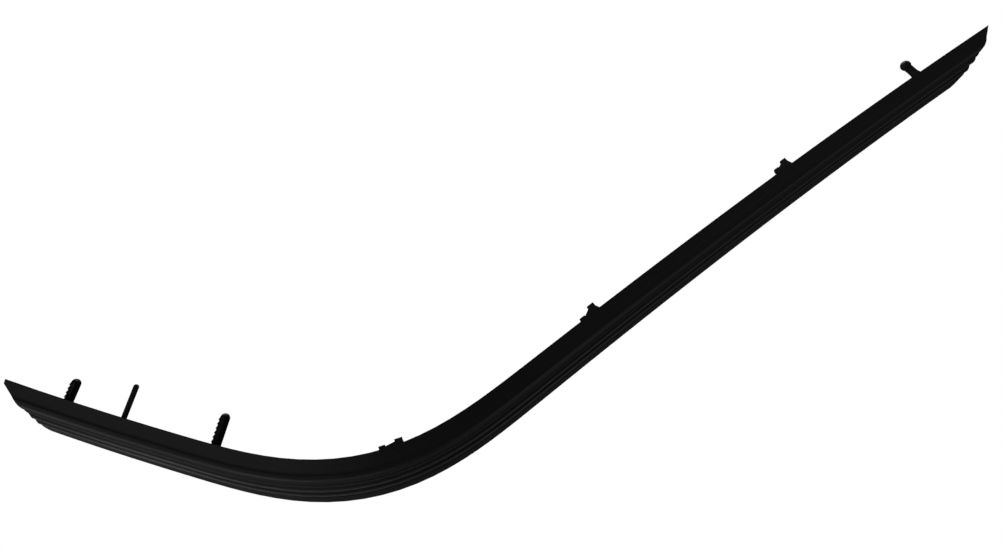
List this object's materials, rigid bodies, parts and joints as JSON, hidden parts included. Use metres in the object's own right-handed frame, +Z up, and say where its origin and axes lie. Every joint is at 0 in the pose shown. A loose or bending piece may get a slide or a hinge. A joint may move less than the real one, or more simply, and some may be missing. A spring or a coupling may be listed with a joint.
{
  "type": "bumper impact strip",
  "caption": "Black moulded corner strip for a bumper, with beads along its face, a ribbed hollow back, snap clips and push-in studs.",
  "frame": {"origin": "middle of the part's box, on the floor that the strip stands on", "axes": "+X along the strip's length from the short leg's tip to the long leg's tip, +Y towards the rear, where the clips point, +Z up"},
  "size_m": [0.972, 0.19, 0.054],
  "materials": {
    "black_plastic": "fine matt grain, near black",
    "stud_plastic": "smooth satin, black"
  },
  "bodies": {
    "root": {"impact_strip": "black_plastic", "stud_tip": "stud_plastic", "stud_bend": "stud_plastic"}
  },
  "joints": []
}
